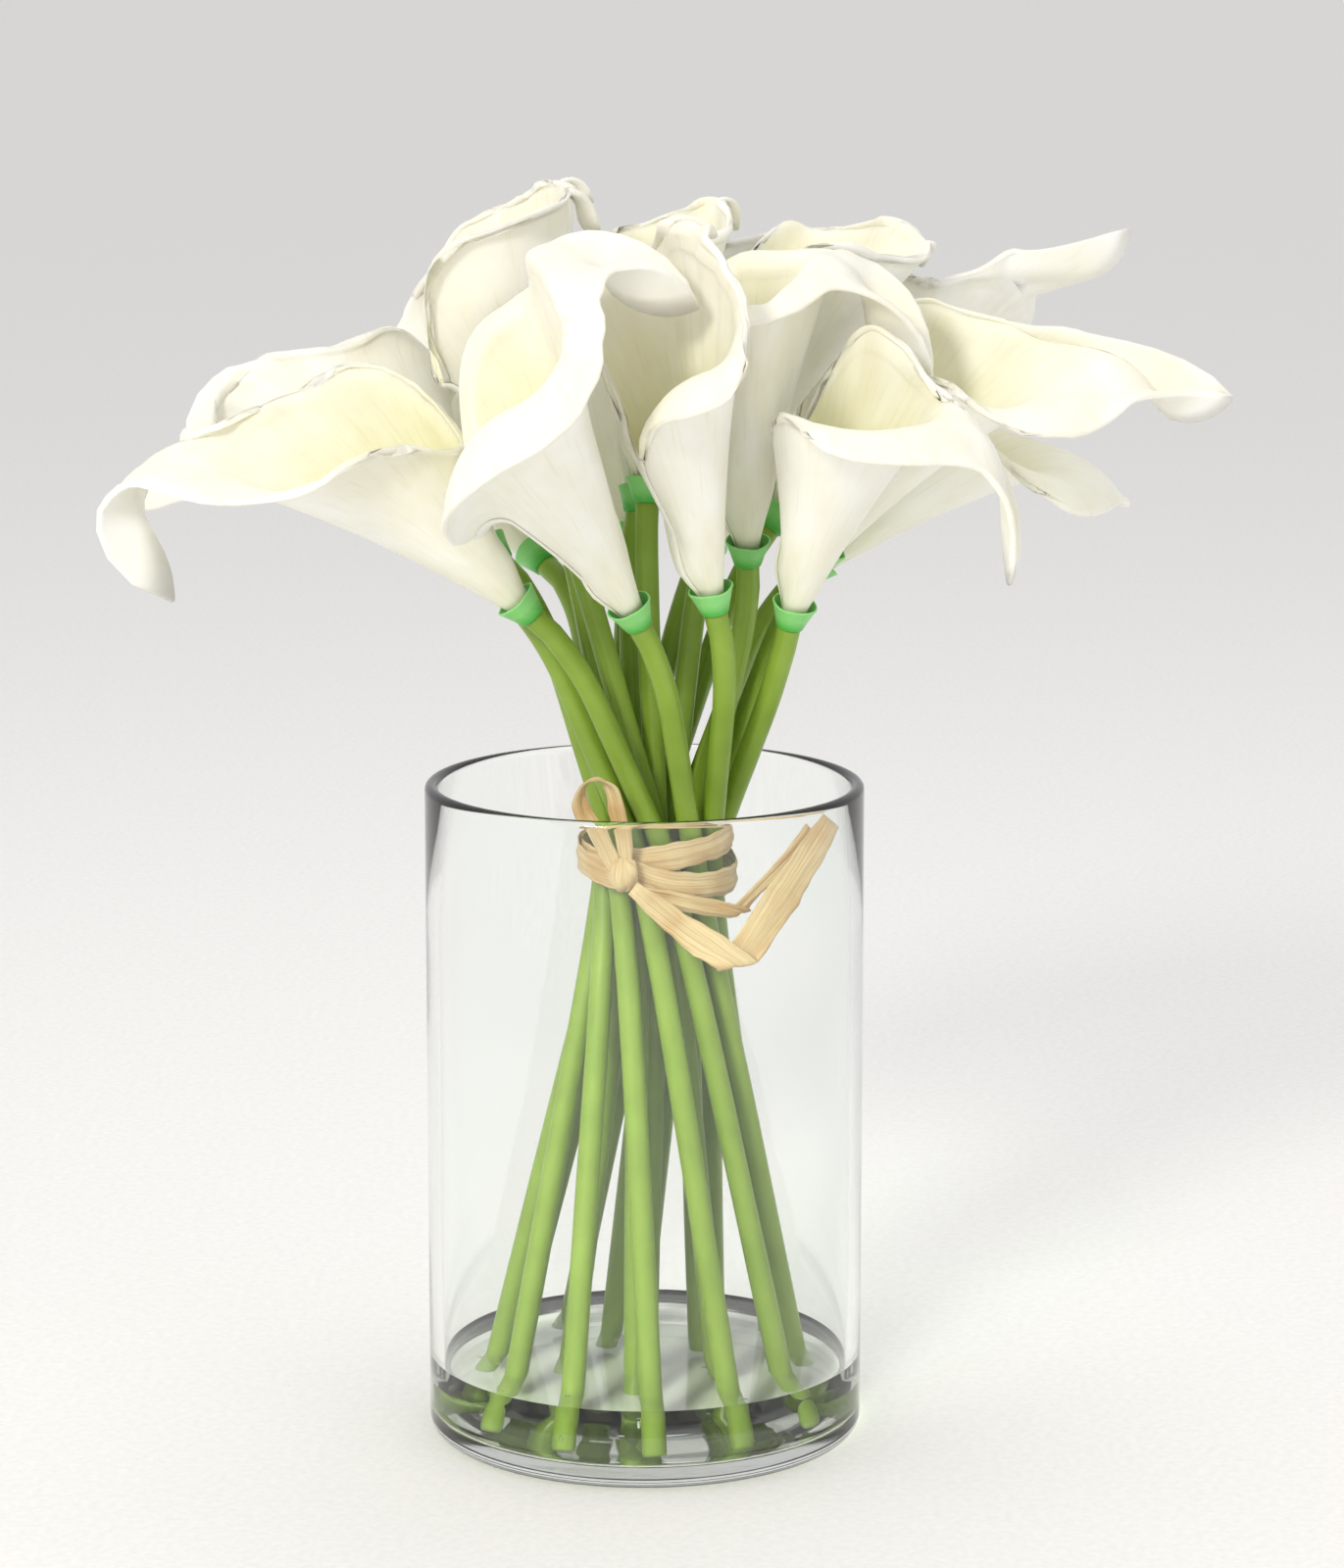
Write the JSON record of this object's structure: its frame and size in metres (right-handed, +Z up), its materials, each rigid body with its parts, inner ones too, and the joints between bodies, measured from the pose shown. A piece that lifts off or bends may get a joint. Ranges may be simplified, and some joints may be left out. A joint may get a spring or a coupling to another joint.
{
  "type": "calla lilies in a vase",
  "caption": "Bunch of white calla lilies with rolled funnel-shaped spathes on green stems, tied with raffia, standing in a clear glass cylinder vase with shallow water.",
  "frame": {"origin": "centre of the vase's underside, where it rests", "axes": "+Z up along the vase's axis, -Y towards the bunch's front, +X to its right"},
  "size_m": [0.3239, 0.269, 0.3752],
  "materials": {
    "glass": "clear, fire-polished",
    "water": "clear water",
    "stem": "satin moulded, with a mint-green collar on the head",
    "spadix": "glossy, beaded",
    "spathe": "soft foam, matte, faintly wrinkled",
    "raffia": "dry fibre strip"
  },
  "bodies": {
    "root": {"vase": "glass", "water": "water", "raffia_wrap": "raffia", "raffia_knot": "raffia", "raffia_tail_long": "raffia", "raffia_tail_short": "raffia", "stem_01": "stem", "spadix_01": "spadix", "spathe_01": "spathe", "stem_02": "stem", "spadix_02": "spadix", "spathe_02": "spathe", "stem_03": "stem", "spadix_03": "spadix", "spathe_03": "spathe", "stem_04": "stem", "spadix_04": "spadix", "spathe_04": "spathe", "stem_05": "stem", "spadix_05": "spadix", "spathe_05": "spathe", "stem_06": "stem", "spadix_06": "spadix", "spathe_06": "spathe", "stem_07": "stem", "spadix_07": "spadix", "spathe_07": "spathe", "stem_08": "stem", "spadix_08": "spadix", "spathe_08": "spathe", "stem_09": "stem", "spadix_09": "spadix", "spathe_09": "spathe", "stem_10": "stem", "spadix_10": "spadix", "spathe_10": "spathe", "stem_11": "stem", "spadix_11": "spadix", "spathe_11": "spathe", "stem_12": "stem", "spadix_12": "spadix", "spathe_12": "spathe", "stem_13": "stem", "spadix_13": "spadix", "spathe_13": "spathe", "stem_14": "stem", "spadix_14": "spadix", "spathe_14": "spathe", "stem_15": "stem", "spadix_15": "spadix", "spathe_15": "spathe", "stem_16": "stem", "spadix_16": "spadix", "spathe_16": "spathe", "stem_17": "stem", "spadix_17": "spadix", "spathe_17": "spathe", "stem_18": "stem", "spadix_18": "spadix", "spathe_18": "spathe"}
  },
  "joints": []
}
